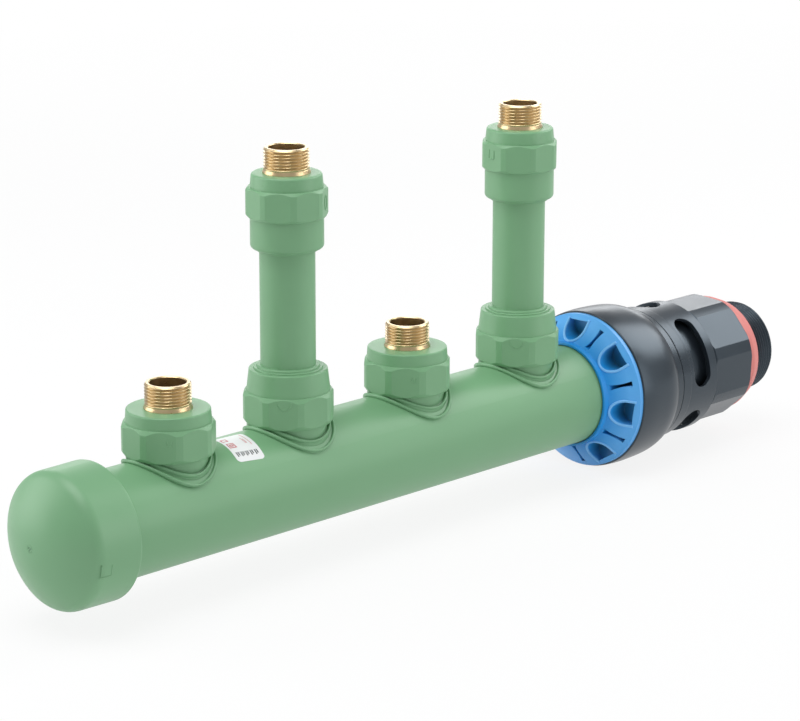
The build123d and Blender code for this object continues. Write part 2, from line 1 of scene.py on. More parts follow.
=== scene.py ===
import math

import bmesh
import bpy
from mathutils import Euler, Matrix, Vector


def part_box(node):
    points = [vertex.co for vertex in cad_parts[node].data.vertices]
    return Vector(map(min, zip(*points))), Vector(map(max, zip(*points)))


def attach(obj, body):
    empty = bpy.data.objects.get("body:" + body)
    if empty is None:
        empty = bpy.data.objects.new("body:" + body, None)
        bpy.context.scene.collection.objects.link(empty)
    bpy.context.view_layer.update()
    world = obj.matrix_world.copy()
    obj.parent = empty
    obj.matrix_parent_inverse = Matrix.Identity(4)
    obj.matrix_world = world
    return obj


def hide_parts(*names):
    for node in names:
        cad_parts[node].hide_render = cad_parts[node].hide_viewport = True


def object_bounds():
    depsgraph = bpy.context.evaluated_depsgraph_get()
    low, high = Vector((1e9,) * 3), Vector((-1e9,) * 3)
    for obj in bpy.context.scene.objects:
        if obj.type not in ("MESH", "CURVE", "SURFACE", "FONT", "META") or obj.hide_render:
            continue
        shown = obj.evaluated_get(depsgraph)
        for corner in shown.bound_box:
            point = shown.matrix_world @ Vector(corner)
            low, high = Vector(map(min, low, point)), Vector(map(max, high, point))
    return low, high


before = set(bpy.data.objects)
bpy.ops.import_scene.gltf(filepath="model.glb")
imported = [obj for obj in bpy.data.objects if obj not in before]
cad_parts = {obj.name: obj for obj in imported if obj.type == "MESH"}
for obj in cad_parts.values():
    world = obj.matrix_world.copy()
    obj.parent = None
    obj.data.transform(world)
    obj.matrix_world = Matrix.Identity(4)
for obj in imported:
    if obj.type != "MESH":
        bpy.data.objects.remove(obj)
cad_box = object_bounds()

# The studio: a white paper floor that turns plain white away from the manifold, and five softboxes
# overhead, left, right, behind and low at the back. The camera stands on the capped end's side, a
# little above the outlets, and looks along the header towards the coupling.
CAMERA_PLACE = (-1.5250, -1.2186, 0.5234)
CAMERA_PITCH = math.radians(90.0 - 15.301)
CAMERA_TURN = math.radians(-45.138)
CAMERA_ROLL = math.radians(0.104)
CAMERA_LENS = 135.2

camera_data = bpy.data.cameras.new("studio_camera")
camera_data.sensor_fit = "HORIZONTAL"
camera_data.sensor_width = 36.0
camera_data.lens = CAMERA_LENS
camera_data.clip_start = 0.05
camera_data.clip_end = 30.0
camera = bpy.data.objects.new("studio_camera", camera_data)
bpy.context.scene.collection.objects.link(camera)
camera_turn = Euler((CAMERA_PITCH, 0.0, CAMERA_TURN)).to_matrix() @ Matrix.Rotation(CAMERA_ROLL, 3, "Z")
camera.matrix_world = Matrix.Translation(CAMERA_PLACE) @ camera_turn.to_4x4()
bpy.context.scene.camera = camera
bpy.context.scene.view_settings.view_transform = "Standard"

MANIFOLD_MIDDLE = Vector((-0.28, 0.0, 0.05))


def softbox(name, place, width, height, power):
    """A square or long softbox, aimed at the manifold's middle, with its power in watts."""
    light_data = bpy.data.lights.new(name, "AREA")
    light_data.shape = "RECTANGLE"
    light_data.size = width
    light_data.size_y = height
    light_data.energy = power
    light = bpy.data.objects.new(name, light_data)
    light.location = place
    light.rotation_euler = (MANIFOLD_MIDDLE - Vector(place)).to_track_quat("-Z", "Y").to_euler()
    bpy.context.scene.collection.objects.link(light)
    return light


softbox("overhead_softbox", (-0.75, 0.05, 1.6), 1.3, 1.3, 18.0)
softbox("left_softbox", (-1.35, 1.10, 0.45), 1.2, 1.2, 11.0)
softbox("right_softbox", (0.50, -1.50, 0.35), 1.1, 1.2, 8.2)
softbox("back_softbox", (0.95, -0.30, 0.95), 0.9, 0.9, 9.5)
softbox("horizon_softbox", (1.10, 1.40, 0.55), 1.7, 0.4, 7.0)


def seen_directly(nodes, links, glossy_share):
    """One where the camera looks, and a share of it where metal and gloss mirror the studio."""
    path = nodes.new("ShaderNodeLightPath")
    mirrored = nodes.new("ShaderNodeMath")
    mirrored.operation = "MULTIPLY"
    mirrored.inputs[1].default_value = glossy_share
    links.new(path.outputs["Is Glossy Ray"], mirrored.inputs[0])
    glossy = nodes.new("ShaderNodeMath")
    glossy.operation = "MAXIMUM"
    links.new(path.outputs["Is Camera Ray"], glossy.inputs[0])
    links.new(mirrored.outputs[0], glossy.inputs[1])
    both = nodes.new("ShaderNodeMath")
    both.operation = "MAXIMUM"
    links.new(glossy.outputs[0], both.inputs[0])
    links.new(path.outputs["Is Transmission Ray"], both.inputs[1])
    return both.outputs[0]


ROOM_STRENGTH = 0.36
ROOM_MIRRORED = 0.25
world = bpy.data.worlds.new("studio_world")
bpy.context.scene.world = world
world.use_nodes = True
world_nodes = world.node_tree.nodes
world_links = world.node_tree.links
world_nodes.clear()
world_out = world_nodes.new("ShaderNodeOutputWorld")
world_light = world_nodes.new("ShaderNodeBackground")
world_light.inputs["Color"].default_value = (0.95, 0.97, 1.0, 1.0)
world_light.inputs["Strength"].default_value = ROOM_STRENGTH
world_white = world_nodes.new("ShaderNodeBackground")
world_white.inputs["Color"].default_value = (1.0, 1.0, 1.0, 1.0)
world_white.inputs["Strength"].default_value = 1.0
world_mix = world_nodes.new("ShaderNodeMixShader")
world_links.new(seen_directly(world_nodes, world_links, ROOM_MIRRORED), world_mix.inputs["Fac"])
world_links.new(world_light.outputs[0], world_mix.inputs[1])
world_links.new(world_white.outputs[0], world_mix.inputs[2])
world_links.new(world_mix.outputs[0], world_out.inputs["Surface"])

FLOOR_DROP = 0.0015
FLOOR_REACH = 6.0
FLOOR_WHITE_NEAR = 0.86
FADE_STARTS = 0.8
FADE_ENDS = 1.8
floor_mesh = bpy.data.meshes.new("studio_floor")
floor_height = cad_box[0][2] - FLOOR_DROP
floor_shape = bmesh.new()
bmesh.ops.create_grid(floor_shape, x_segments=2, y_segments=2, size=FLOOR_REACH)
bmesh.ops.translate(floor_shape, verts=floor_shape.verts, vec=(0.0, 0.0, floor_height))
floor_shape.to_mesh(floor_mesh)
floor_shape.free()
floor = bpy.data.objects.new("studio_floor", floor_mesh)
bpy.context.scene.collection.objects.link(floor)
floor_material = bpy.data.materials.new("studio_paper")
floor_material.use_nodes = True
floor_nodes = floor_material.node_tree.nodes
floor_links = floor_material.node_tree.links
floor_nodes.clear()
floor_out = floor_nodes.new("ShaderNodeOutputMaterial")
floor_paper = floor_nodes.new("ShaderNodeBsdfDiffuse")
floor_paper.inputs["Color"].default_value = (0.82, 0.82, 0.82, 1.0)
floor_white = floor_nodes.new("ShaderNodeEmission")
floor_white.inputs["Color"].default_value = (1.0, 1.0, 1.0, 1.0)
floor_white.inputs["Strength"].default_value = 1.0
floor_place = floor_nodes.new("ShaderNodeTexCoord")
floor_reach = floor_nodes.new("ShaderNodeVectorMath")
floor_reach.operation = "LENGTH"
floor_links.new(floor_place.outputs["Object"], floor_reach.inputs[0])
floor_fade = floor_nodes.new("ShaderNodeMapRange")
floor_fade.inputs["From Min"].default_value = FADE_STARTS
floor_fade.inputs["From Max"].default_value = FADE_ENDS
floor_fade.inputs["To Min"].default_value = FLOOR_WHITE_NEAR
floor_fade.inputs["To Max"].default_value = 1.0
floor_links.new(floor_reach.outputs["Value"], floor_fade.inputs["Value"])
floor_share = floor_nodes.new("ShaderNodeMath")
floor_share.operation = "MULTIPLY"
floor_links.new(floor_fade.outputs["Result"], floor_share.inputs[1])
floor_mix = floor_nodes.new("ShaderNodeMixShader")
floor_links.new(seen_directly(floor_nodes, floor_links, 1.0), floor_share.inputs[0])
floor_links.new(floor_share.outputs[0], floor_mix.inputs["Fac"])
floor_links.new(floor_paper.outputs[0], floor_mix.inputs[1])
floor_links.new(floor_white.outputs[0], floor_mix.inputs[2])
floor_links.new(floor_mix.outputs[0], floor_out.inputs["Surface"])
floor_mesh.materials.append(floor_material)


# The header pipe and its end cap are pale green polypropylene: the pipe is extruded, so it carries
# faint lines along its length, and the cap is moulded and fused over the pipe's end, with painted
# shade for the gate's small pit in the middle of its dome.
GREEN = (0.186, 0.390, 0.206, 1.0)
GREEN_SHADE = (0.166, 0.362, 0.186, 1.0)
CLOUD_SCALE = 38.0
GLOSS_SPREAD = 0.05
SKIN_STRENGTH = 0.35


def paint(node_name, material):
    """Gives a carried-over piece its finish."""
    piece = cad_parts[node_name]
    piece.data.materials.clear()
    piece.data.materials.append(material)


def moulded_plastic(
    name, light, dark, roughness, grain_size, grain_depth, streaks=1.0, edge=0.0004, specular=0.5
):
    """Satin plastic: cloudy colour, uneven gloss, a fine skin and softly broken edges."""
    material = bpy.data.materials.new(name)
    material.use_nodes = True
    nodes = material.node_tree.nodes
    links = material.node_tree.links
    surface = nodes["Principled BSDF"]
    place = nodes.new("ShaderNodeTexCoord")
    stretch = nodes.new("ShaderNodeMapping")
    stretch.inputs["Scale"].default_value = (streaks, 1.0, 1.0)
    links.new(place.outputs["Object"], stretch.inputs["Vector"])
    cloud = nodes.new("ShaderNodeTexNoise")
    cloud.inputs["Scale"].default_value = CLOUD_SCALE
    cloud.inputs["Detail"].default_value = 3.0
    links.new(stretch.outputs["Vector"], cloud.inputs["Vector"])
    tint = nodes.new("ShaderNodeMix")
    tint.data_type = "RGBA"
    tint.inputs["A"].default_value = dark
    tint.inputs["B"].default_value = light
    links.new(cloud.outputs["Fac"], tint.inputs["Factor"])
    links.new(tint.outputs["Result"], surface.inputs["Base Color"])
    gloss = nodes.new("ShaderNodeMapRange")
    gloss.inputs["To Min"].default_value = roughness - GLOSS_SPREAD
    gloss.inputs["To Max"].default_value = roughness + GLOSS_SPREAD
    links.new(cloud.outputs["Fac"], gloss.inputs["Value"])
    links.new(gloss.outputs["Result"], surface.inputs["Roughness"])
    grain = nodes.new("ShaderNodeTexNoise")
    grain.inputs["Scale"].default_value = 1.0 / grain_size
    grain.inputs["Detail"].default_value = 2.0
    links.new(stretch.outputs["Vector"], grain.inputs["Vector"])
    rounding = nodes.new("ShaderNodeBevel")
    rounding.inputs["Radius"].default_value = edge
    skin = nodes.new("ShaderNodeBump")
    skin.inputs["Strength"].default_value = SKIN_STRENGTH
    skin.inputs["Distance"].default_value = grain_depth
    links.new(grain.outputs["Fac"], skin.inputs["Height"])
    links.new(rounding.outputs["Normal"], skin.inputs["Normal"])
    links.new(skin.outputs["Normal"], surface.inputs["Normal"])
    surface.inputs["Specular IOR Level"].default_value = specular
    return material


extruded_green = moulded_plastic(
    "extruded_green", GREEN, GREEN_SHADE, 0.42, 0.0006, 0.00004, streaks=0.05
)
moulded_green = moulded_plastic("moulded_green", GREEN, GREEN_SHADE, 0.40, 0.0005, 0.00005)
capped_green = moulded_plastic("capped_green", GREEN, GREEN_SHADE, 0.40, 0.0005, 0.00005)
# The gate's small pit is painted shade: a darker green star of spots in the middle of the dome.
GATE_RADIUS = 0.0028
GATE_CORE = 0.3 * GATE_RADIUS
GATE_RAYS = 900.0
GATE_SPOTS_FROM = 0.40
GATE_SPOTS_FULL = 0.50
GATE_PIT_SHADE = (0.060, 0.190, 0.080, 1.0)


def paint_gate_pit_shade(material):
    """Painted shade for the gate's pit: a rough little star in the middle of the dome, darker than the
    plastic round it.
    """
    nodes = material.node_tree.nodes
    links = material.node_tree.links
    surface = nodes["Principled BSDF"]
    skin_colour = surface.inputs["Base Color"].links[0].from_socket
    place = nodes.new("ShaderNodeTexCoord")
    flat = nodes.new("ShaderNodeMapping")
    flat.inputs["Scale"].default_value = (0.0, 1.0, 1.0)
    links.new(place.outputs["Object"], flat.inputs["Vector"])
    reach = nodes.new("ShaderNodeVectorMath")
    reach.operation = "LENGTH"
    links.new(flat.outputs["Vector"], reach.inputs[0])
    fade = nodes.new("ShaderNodeMapRange")
    fade.inputs["From Min"].default_value = GATE_RADIUS
    fade.inputs["From Max"].default_value = GATE_CORE
    links.new(reach.outputs["Value"], fade.inputs["Value"])
    rough = nodes.new("ShaderNodeTexNoise")
    rough.inputs["Scale"].default_value = GATE_RAYS
    links.new(flat.outputs["Vector"], rough.inputs["Vector"])
    spots = nodes.new("ShaderNodeMapRange")
    spots.inputs["From Min"].default_value = GATE_SPOTS_FROM
    spots.inputs["From Max"].default_value = GATE_SPOTS_FULL
    links.new(rough.outputs["Fac"], spots.inputs["Value"])
    share = nodes.new("ShaderNodeMath")
    share.operation = "MULTIPLY"
    links.new(fade.outputs["Result"], share.inputs[0])
    links.new(spots.outputs["Result"], share.inputs[1])
    shade_blend = nodes.new("ShaderNodeMix")
    shade_blend.data_type = "RGBA"
    shade_blend.inputs["B"].default_value = GATE_PIT_SHADE
    links.new(share.outputs[0], shade_blend.inputs["Factor"])
    links.new(skin_colour, shade_blend.inputs["A"])
    links.new(shade_blend.outputs["Result"], surface.inputs["Base Color"])


paint_gate_pit_shade(capped_green)
paint("header_pipe", extruded_green)
paint("end_cap", capped_green)


# The saddles are moulded with an eight-sided collar and fused into the header, two with a brass
# thread moulded in and two with a socket for a riser. Their plastic is the cap's.
SADDLES = ("transition_saddle_1", "socket_saddle_2", "transition_saddle_3", "socket_saddle_4")
for saddle in SADDLES:
    paint(saddle, moulded_green)


# The weld rolls are melted plastic squeezed out where each saddle was pressed into the header: two
# uneven lips that follow the header's curve all round the neck, swept here as soft beads.
HEADER_RADIUS = 0.0315
INNER_LIP = {"reach": 0.0232, "lift": 0.0025, "wide": 0.00092, "tall": 0.00150}
OUTER_LIP = {"reach": 0.0257, "lift": 0.0010, "wide": 0.00095, "tall": 0.00135}
LIP_SWELL = 0.09
LIP_RIPPLE = 0.05
LIP_WANDER = 0.00018
LIP_STEPS = 144
BEAD_SIDES = 14


def swept_bead(name, path, closed=True):
    """A bead along a path of rows: its middle, its outward way, and its half width and half height."""
    shape = bmesh.new()
    rings = []
    count = len(path)
    for step, (middle, outward, wide, tall) in enumerate(path):
        before = path[(step - 1) % count][0] if closed or step > 0 else middle
        after = path[(step + 1) % count][0] if closed or step < count - 1 else middle
        aside = (after - before).cross(outward).normalized()
        ring = []
        for side in range(BEAD_SIDES):
            angle = 2.0 * math.pi * side / BEAD_SIDES
            spot = middle + aside * wide * math.cos(angle) + outward * tall * math.sin(angle)
            ring.append(shape.verts.new(spot))
        rings.append(ring)
    pairs = list(zip(rings, rings[1:] + rings[:1])) if closed else list(zip(rings, rings[1:]))
    for first, second in pairs:
        for side in range(BEAD_SIDES):
            following = (side + 1) % BEAD_SIDES
            shape.faces.new((first[side], first[following], second[following], second[side]))
    if not closed:
        shape.faces.new(rings[0][::-1])
        shape.faces.new(rings[-1])
    bmesh.ops.recalc_face_normals(shape, faces=shape.faces)
    mesh = bpy.data.meshes.new(name)
    shape.to_mesh(mesh)
    shape.free()
    mesh.polygons.foreach_set("use_smooth", [True] * len(mesh.polygons))
    bead = bpy.data.objects.new(name, mesh)
    bpy.context.scene.collection.objects.link(bead)
    return bead


def lip_path(outlet_x, lip, seed):
    """Rows of one lip: a ring round the outlet, laid on the header, swelling and thinning a little."""
    rows = []
    for step in range(LIP_STEPS):
        angle = 2.0 * math.pi * step / LIP_STEPS
        ripple = LIP_RIPPLE * math.sin(7.0 * angle + 2.0 * seed)
        swell = 1.0 + LIP_SWELL * math.sin(3.0 * angle + seed) + ripple
        reach = lip["reach"] + LIP_WANDER * math.sin(4.0 * angle + 1.7 * seed)
        across = reach * math.sin(angle)
        height = math.sqrt((HEADER_RADIUS + lip["lift"]) ** 2 - across ** 2)
        outward = Vector((0.0, across, height)).normalized()
        middle = Vector((outlet_x + reach * math.cos(angle), across, height))
        rows.append((middle, outward, lip["wide"] * swell, lip["tall"] * swell))
    return rows


def middle_of(node_name):
    """The middle of a piece in plan, which is its outlet's axis."""
    low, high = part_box(node_name)
    return ((low[0] + high[0]) / 2, (low[1] + high[1]) / 2)


for number, saddle in enumerate(SADDLES, start=1):
    for lip_name, lip in (("inner", INNER_LIP), ("outer", OUTER_LIP)):
        seed = 1.3 * number + (0.6 if lip_name == "outer" else 0.0)
        rows = lip_path(middle_of(saddle)[0], lip, seed)
        bead = swept_bead("weld_lip_" + lip_name + "_" + str(number), rows)
        bead.data.materials.append(moulded_green)
        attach(bead, "root")


# The label is a white paper sticker wrapped over the header between the first two outlets, a little
# askew. It has rounded corners and carries only plain printed bars and rules, dark grey and red.
LABEL_MIDDLE = -0.4380
LABEL_WRAP = math.radians(-18.2)
LABEL_ASKEW = math.radians(6.0)
LABEL_WIDTH = 0.0195
LABEL_LENGTH = 0.0262
LABEL_CORNER = 0.0026
LABEL_LIFT = 0.00012
LABEL_THICKNESS = 0.00010
PRINT_LIFT = 0.00017
PRINT_THICKNESS = 0.00003
RULE = 0.6
TICK = 0.3
BAR = 0.7
BAR_PITCH = 3.2
PAPER = (0.86, 0.86, 0.87, 1.0)
PAPER_SHADE = (0.80, 0.80, 0.81, 1.0)
INK = (0.020, 0.022, 0.030, 1.0)
INK_SHADE = (0.030, 0.032, 0.040, 1.0)
RED_INK = (0.520, 0.075, 0.090, 1.0)
RED_INK_SHADE = (0.640, 0.120, 0.130, 1.0)
CORNER_STEPS = (0.0, 0.02, 0.08, 0.2, 0.4, 0.65, 1.0)
PATCH_ROWS = 16
PATCH_COLUMNS = 4


def on_header(across, up, lift):
    """The place on the header of a point of the label, measured from the label's middle."""
    along = across * math.cos(LABEL_ASKEW) + up * math.sin(LABEL_ASKEW)
    round_way = up * math.cos(LABEL_ASKEW) - across * math.sin(LABEL_ASKEW)
    angle = LABEL_WRAP + round_way / HEADER_RADIUS
    radius = HEADER_RADIUS + lift
    return (LABEL_MIDDLE + along, radius * math.sin(angle), radius * math.cos(angle))


def bent_patches(name, patches, lift, thickness, material, corner=0.0):
    """Thin patches bent round the header: each gives its left, right, front and back on the label."""
    shape = bmesh.new()
    for left, right, front, back in patches:
        span = back - front
        ends = [corner * share for share in CORNER_STEPS] if corner else [0.0]
        straight = (span - 2 * corner) / PATCH_ROWS
        stations = ends + [corner + straight * step for step in range(1, PATCH_ROWS)]
        stations += [span - row for row in reversed(ends)]
        rows = []
        for station in stations:
            short = corner - min(station, span - station, corner)
            inset = corner - math.sqrt(corner ** 2 - short ** 2)
            row = []
            for step in range(PATCH_COLUMNS + 1):
                across = left + inset + (right - left - 2 * inset) * step / PATCH_COLUMNS
                row.append(shape.verts.new(on_header(across, front + station, lift)))
            rows.append(row)
        for lower, upper in zip(rows, rows[1:]):
            for step in range(PATCH_COLUMNS):
                shape.faces.new((lower[step], lower[step + 1], upper[step + 1], upper[step]))
    bmesh.ops.recalc_face_normals(shape, faces=shape.faces)
    bmesh.ops.solidify(shape, geom=shape.faces[:], thickness=thickness)
    mesh = bpy.data.meshes.new(name)
    shape.to_mesh(mesh)
    shape.free()
    mesh.polygons.foreach_set("use_smooth", [True] * len(mesh.polygons))
    mesh.set_sharp_from_angle(angle=math.radians(40.0))
    mesh.materials.append(material)
    patch = bpy.data.objects.new(name, mesh)
    bpy.context.scene.collection.objects.link(patch)
    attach(patch, "root")


def printed(left, right, front, back):
    """A printed bar, given in millimetres from the label's left front corner."""
    start = Vector((left, front)) / 1000 - Vector((LABEL_WIDTH, LABEL_LENGTH)) / 2
    end = Vector((right, back)) / 1000 - Vector((LABEL_WIDTH, LABEL_LENGTH)) / 2
    return (start[0], end[0], start[1], end[1])


paper_finish = moulded_plastic(
    "label_white", PAPER, PAPER_SHADE, 0.42, 0.0004, 0.00001, edge=0.00005, specular=0.3
)
ink_finish = moulded_plastic(
    "label_ink", INK, INK_SHADE, 0.50, 0.0004, 0.00001, edge=0.00002, specular=0.3
)
red_finish = moulded_plastic(
    "label_red_ink", RED_INK, RED_INK_SHADE, 0.50, 0.0004, 0.00001, edge=0.00002
)
whole_label = (-LABEL_WIDTH / 2, LABEL_WIDTH / 2, -LABEL_LENGTH / 2, LABEL_LENGTH / 2)
bent_patches("label_paper", [whole_label], LABEL_LIFT, LABEL_THICKNESS, paper_finish, LABEL_CORNER)

dark_bars = []
for step in range(5):
    left = 2.2 + BAR_PITCH * step
    dark_bars += [printed(left, left + BAR, 3.6, 7.2), printed(left + 1.3, left + 1.3 + BAR, 4.4, 7.2)]
bent_patches("label_dark_print", dark_bars, PRINT_LIFT, PRINT_THICKNESS, ink_finish)

red_bars = [
    printed(16.6, 16.6 + TICK, 11.5, 25.0),
    printed(14.6, 14.6 + TICK, 13.5, 18.5),
    printed(13.8, 13.8 + TICK, 13.5, 20.0),
]
red_frames = ((1.4, 6.2, 11.2, 16.0), (2.6, 5.0, 12.6, 14.6), (1.4, 5.4, 18.6, 22.0))
for left, right, front, back in red_frames:
    red_bars += [printed(left, right, front, front + RULE), printed(left, right, back - RULE, back)]
    red_bars += [printed(left, left + RULE, front, back), printed(right - RULE, right, front, back)]
bent_patches("label_red_print", red_bars, PRINT_LIFT, PRINT_THICKNESS, red_finish)


# The risers are plain pipe fused into the socket saddles, and the adaptors are fused onto their tops.
# A thin roll of melted plastic shows all round where a riser enters its adaptor.
MOUTH_ROLL_REACH = 0.0171
MOUTH_ROLL_DROP = 0.0004
MOUTH_ROLL_HALF = 0.0009
ROLL_SWELL = 0.08
ROLL_STEPS = 96


def level_ring(reach, axis_x, axis_y, height, half, seed):
    """Rows of a level ring round an upright axis, swelling and thinning a little."""
    rows = []
    for step in range(ROLL_STEPS):
        angle = 2.0 * math.pi * step / ROLL_STEPS
        outward = Vector((math.cos(angle), math.sin(angle), 0.0))
        middle = Vector((axis_x, axis_y, height)) + outward * reach
        swollen = half * (1.0 + ROLL_SWELL * math.sin(3.0 * angle + seed))
        rows.append((middle, outward, swollen, swollen))
    return rows


for number in (2, 4):
    paint("riser_pipe_" + str(number), extruded_green)
    paint("riser_adaptor_" + str(number), moulded_green)
    adaptor = "riser_adaptor_" + str(number)
    roll_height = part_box(adaptor)[0][2] - MOUTH_ROLL_DROP
    axis_x, axis_y = middle_of(adaptor)
    seed = 1.1 * number
    rows = level_ring(MOUTH_ROLL_REACH, axis_x, axis_y, roll_height, MOUTH_ROLL_HALF, seed)
    roll = swept_bead("mouth_roll_" + str(number), rows)
    roll.data.materials.append(moulded_green)
    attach(roll, "root")


# The moulds left small raised marks on the green fittings: a half moon hanging from the chamfer on the
# socket saddles, short hooks on the other collars and on the cap's side, and an oval on one adaptor.
# They are fine beads laid on the surface, of the same plastic.
SADDLE_HALF_WIDTH = 0.0253
ADAPTOR_HALF_WIDTH = 0.0224
MARK_WIDE = 0.00020
MARK_TALL = 0.00020
HALF_MOON_RADIUS = 0.0039
HALF_MOON_STEPS = 24
HOOK_HALF_WIDTH = 0.0012
HOOK_HEIGHT = 0.0030
OVAL_HALF_WIDTH = 0.0026
OVAL_HALF_HEIGHT = 0.0042
OVAL_STEPS = 40
CAP_HOOK_STARTS = -0.5645
CAP_HOOK_ENDS = -0.5572
CAP_HOOK_TOP = math.radians(-96.0)
CAP_HOOK_BOTTOM = math.radians(-107.0)
CAP_HOOK_RADIUS = 0.0396
CAP_HOOK_WIDE = 0.00030
CAP_HOOK_TALL = 0.00022
CAP_HOOK_STEPS = 8
MOON_ASIDE = 0.0006
MOON_UP = 0.0496


def half_moon():
    """The outline of a half moon that hangs from its straight side, across and up the flat."""
    return [
        (HALF_MOON_RADIUS * math.cos(turn), HALF_MOON_RADIUS * math.sin(turn))
        for turn in [math.pi * (1.0 + step / HALF_MOON_STEPS) for step in range(HALF_MOON_STEPS + 1)]
    ]


def oval():
    """The outline of an upright oval, across and up the flat."""
    return [
        (OVAL_HALF_WIDTH * math.cos(turn), OVAL_HALF_HEIGHT * math.sin(turn))
        for turn in [2.0 * math.pi * step / OVAL_STEPS for step in range(OVAL_STEPS)]
    ]


def hook(size=1.0):
    """The outline of an open hook with cut corners, across and up the flat."""
    side = HOOK_HALF_WIDTH * size
    top = HOOK_HEIGHT * size
    cut = 0.25 * side
    return [(-side, top), (-side, cut), (cut - side, 0.0), (side - cut, 0.0), (side, cut), (side, top)]


def flat_mark(
    name, node_name, facing, half_width, along, height, outline, closed=False, weight=1.0
):
    """A fine bead on one flat of a collar, from its outline across and up that flat."""
    wide = MARK_WIDE * weight
    tall = MARK_TALL * weight
    normal = Vector((math.cos(math.radians(facing)), math.sin(math.radians(facing)), 0.0))
    aside = Vector((-normal[1], normal[0], 0.0))
    axis_x, axis_y = middle_of(node_name)
    start = Vector((axis_x, axis_y, height)) + normal * half_width + aside * along
    path = []
    for across, up in outline:
        path.append((start + aside * across + Vector((0.0, 0.0, up)), normal, wide, tall))
    return swept_bead(name, path, closed)


def cap_hook_path():
    """Rows of the hook bent round the cap's side, open towards the top."""
    corners = [
        (CAP_HOOK_STARTS, CAP_HOOK_TOP), (CAP_HOOK_STARTS, CAP_HOOK_BOTTOM),
        (CAP_HOOK_ENDS, CAP_HOOK_BOTTOM), (CAP_HOOK_ENDS, CAP_HOOK_TOP),
    ]
    path = []
    for (first_x, first_angle), (second_x, second_angle) in zip(corners, corners[1:]):
        for step in range(CAP_HOOK_STEPS):
            share = step / CAP_HOOK_STEPS
            angle = first_angle + (second_angle - first_angle) * share
            outward = Vector((0.0, math.sin(angle), math.cos(angle)))
            along = Vector((first_x + (second_x - first_x) * share, 0.0, 0.0))
            path.append((along + outward * CAP_HOOK_RADIUS, outward, CAP_HOOK_WIDE, CAP_HOOK_TALL))
    return path


marks = [
    flat_mark(
        "half_moon_2", "socket_saddle_2", -140.0, SADDLE_HALF_WIDTH, MOON_ASIDE, MOON_UP, half_moon(),
        weight=1.4
    ),
    flat_mark(
        "half_moon_4", "socket_saddle_4", -139.7, SADDLE_HALF_WIDTH, MOON_ASIDE, MOON_UP, half_moon(),
        weight=1.4
    ),
    flat_mark(
        "hook_1", "transition_saddle_1", -140.5, SADDLE_HALF_WIDTH, 0.0047, 0.0440, hook(), weight=1.5
    ),
    flat_mark(
        "hook_3", "transition_saddle_3", -137.5, SADDLE_HALF_WIDTH, 0.0052, 0.0430, hook(), weight=1.5
    ),
    flat_mark(
        "hook_5", "riser_adaptor_4", 175.6, ADAPTOR_HALF_WIDTH, -0.0009, 0.1612, hook(1.8), weight=1.9
    ),
    flat_mark(
        "oval_2", "riser_adaptor_2", -56.0, ADAPTOR_HALF_WIDTH, 0.0, 0.1620, oval(), closed=True, weight=1.8
    ),
    swept_bead("cap_hook", cap_hook_path(), closed=False),
]
for mark in marks:
    mark.data.materials.append(moulded_green)
    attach(mark, "root")


# The brass inserts are turned from bar and threaded with a three-quarter inch pipe thread. They are
# built here as one turned skin each, because the thread's helix is too fine for the solids.
THREAD_PITCH = 0.001814
THREAD_DEPTH = 0.00105
THREAD_CREST = 0.0132
THREAD_BORE = 0.0104
THREAD_LENGTH = 0.0148
RING_RADIUS = 0.0138
RING_HEIGHT = 0.0008
MOUTH_BREAK = 0.0009
BORE_BREAK = 0.0005
THREAD_STARTS = 0.0018
THREAD_STEEPNESS = 1.35
THREAD_ROOT = 0.18
RUNOUT_TURNS = 1.2
MOUTH_SHARE = 0.35
ROWS_PER_TURN = 12
INSERT_SPOKES = 96
SHARP_FROM = math.radians(38.0)
ANCHOR_RADIUS = 0.0170
ANCHOR_TOP = -0.0036
ANCHOR_BOTTOM = -0.0146
TAIL_RADIUS = 0.0118
TAIL_BOTTOM = -0.0191
BRASS = (0.70, 0.55, 0.325, 1.0)
BRASS_SHADE = (0.56, 0.42, 0.230, 1.0)
# Painted shade: the brass turns brown where its surface is hollow, down in the thread's grooves.
GROOVE_SHADE_BRASS = (0.210, 0.115, 0.045, 1.0)
GROOVE_SHADE_SHARE = 0.55
HOLLOW_SHADE_STARTS = 0.50
HOLLOW_SHADE_FULL = 0.42
BRASS_CLOUDS = 160.0
BRASS_SMOOTHEST = 0.24
BRASS_ROUGHEST = 0.34
TOOL_LINES = 2200.0
TOOL_LINE_WANDER = 1.5
TOOL_LINE_STRENGTH = 0.12
TOOL_LINE_DEPTH = 0.00003


def thread_ridge(share):
    """Height of a rounded thread, 0 at the root and 1 at the crest, over one turn's share."""
    wave = abs(2.0 * (share - math.floor(share)) - 1.0)
    return min(1.0, max(0.0, THREAD_STEEPNESS * wave - THREAD_ROOT))


def turned_skin(name, rows, spokes):
    """A closed skin turned about an axis: each row gives its height and a radius for each angle."""
    shape = bmesh.new()
    rings = []
    for height, radius_at in rows:
        ring = []
        for spoke in range(spokes):
            angle = 2.0 * math.pi * spoke / spokes
            radius = radius_at(angle)
            ring.append(shape.verts.new((radius * math.cos(angle), radius * math.sin(angle), height)))
        rings.append(ring)
    for lower, upper in zip(rings, rings[1:] + rings[:1]):
        for spoke in range(spokes):
            following = (spoke + 1) % spokes
            shape.faces.new((lower[spoke], lower[following], upper[following], upper[spoke]))
    bmesh.ops.recalc_face_normals(shape, faces=shape.faces)
    mesh = bpy.data.meshes.new(name)
    shape.to_mesh(mesh)
    shape.free()
    mesh.polygons.foreach_set("use_smooth", [True] * len(mesh.polygons))
    mesh.set_sharp_from_angle(angle=SHARP_FROM)
    piece = bpy.data.objects.new(name, mesh)
    bpy.context.scene.collection.objects.link(piece)
    return piece


